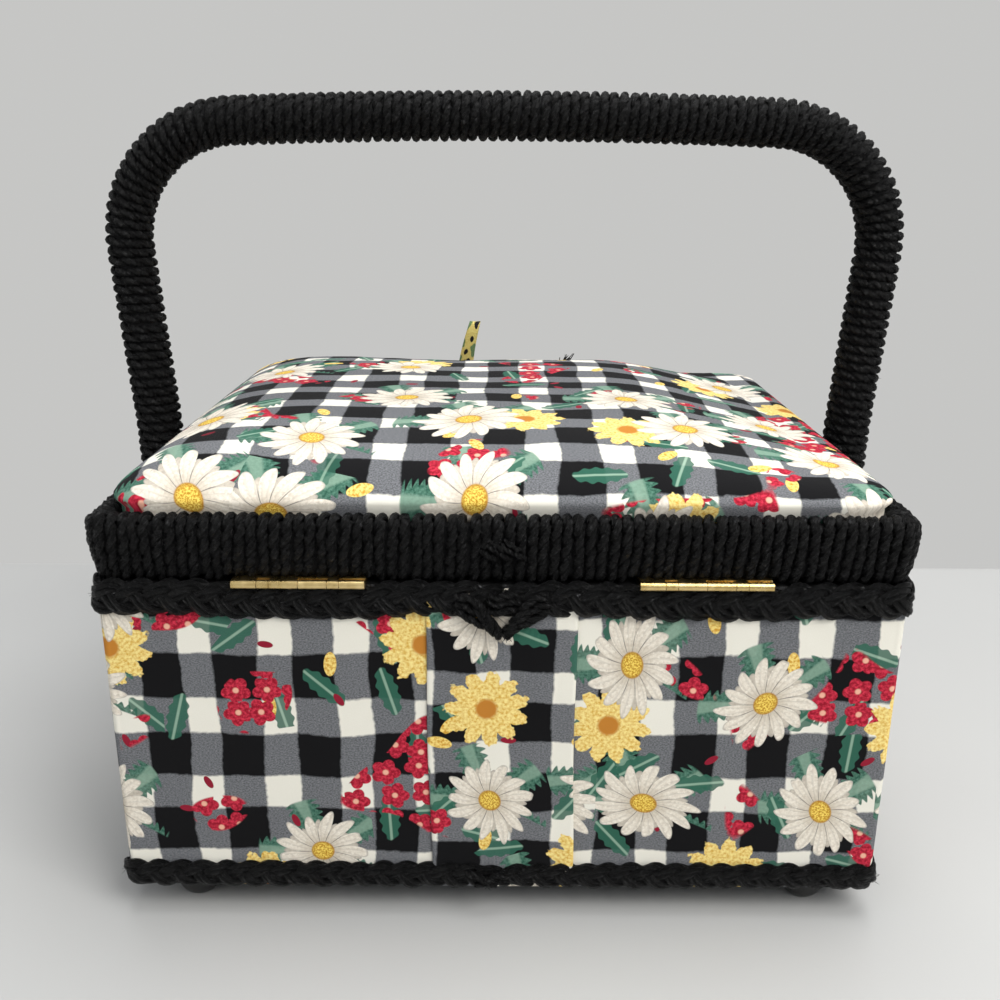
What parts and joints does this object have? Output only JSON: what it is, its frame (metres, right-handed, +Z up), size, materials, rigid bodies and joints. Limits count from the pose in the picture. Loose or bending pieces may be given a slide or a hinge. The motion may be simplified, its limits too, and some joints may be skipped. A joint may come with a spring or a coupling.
{
  "type": "sewing box",
  "caption": "Cloth-covered sewing box: padded hinged lid with a cord-wound rim, braided edges, lift-out tray and a tall wound swing handle.",
  "frame": {"origin": "on the table, under the middle of the box's overall bounding box", "axes": "+Z up; +X to the right seen from the hinge side, along the handle's bar; +Y from the hinge side towards the front, where the pull tab is"},
  "size_m": [0.3148, 0.2312, 0.2819],
  "materials": {
    "plywood": "thin birch plywood, bare inside the skins",
    "printed_cloth": "woven cotton, black and white gingham with small flowers",
    "braid_cord": "three-strand braid of black twisted cord",
    "wound_cord": "black twisted cord, wound close, low sheen",
    "lining_cloth": "plain off-white cotton",
    "base_cloth": "black backing cloth",
    "pad_foam": "soft foam",
    "foot_plastic": "black moulded",
    "hinge_brass": "bright plated",
    "screw_steel": "bright wire",
    "pivot_steel": "black lacquer",
    "cane": "peeled cane",
    "tray_plastic": "off-white moulded"
  },
  "bodies": {
    "base": {"bottom_board": "plywood", "bottom_cover": "base_cloth", "wall_back": "plywood", "wall_front": "plywood", "wall_left": "plywood", "wall_right": "plywood", "body_cover": "printed_cloth", "rear_join_strip": "printed_cloth", "upper_braid": "braid_cord", "lower_braid": "braid_cord", "feet": "foot_plastic", "foot_nails": "screw_steel", "lining_walls": "lining_cloth", "lining_floor": "lining_cloth", "tray_ledges": "plywood", "tray": "tray_plastic", "hinge_left_body_leaf": "hinge_brass", "hinge_right_body_leaf": "hinge_brass", "hinge_left_pin": "hinge_brass", "hinge_right_pin": "hinge_brass", "hinge_body_screws": "hinge_brass", "pivot_screws": "pivot_steel"},
    "lid": {"lid_board": "plywood", "lid_rim_frame": "plywood", "rim_wrap": "wound_cord", "lid_pad": "pad_foam", "lid_cover": "printed_cloth", "lid_lining": "lining_cloth", "pull_tab": "printed_cloth", "hinge_left_lid_leaf": "hinge_brass", "hinge_right_lid_leaf": "hinge_brass", "hinge_lid_screws": "hinge_brass"},
    "handle_pivots": {"handle_spacers": "cane"},
    "handle": {"handle_core": "cane", "handle_wrap": "wound_cord"}
  },
  "joints": [
    {"name": "lid_hinge", "type": "hinge", "parent": "base", "child": "lid", "pos_m": [0, -0.1147, 0.1265], "axis": [1, 0, 0], "range_deg": [0, 100]},
    {"name": "handle_push_back", "type": "hinge", "parent": "base", "child": "handle_pivots", "pos_m": [0, 0, 0.105], "axis": [1, 0, 0], "range_deg": [0, 110]},
    {"name": "handle_swing", "type": "hinge", "parent": "handle_pivots", "child": "handle", "pos_m": [0, 0, 0.105], "axis": [-1, 0, 0], "range_deg": [0, 115]}
  ],
  "couplings": [
    {"joint": "handle_push_back", "follows": "lid_hinge", "ratio": 1.1}
  ]
}
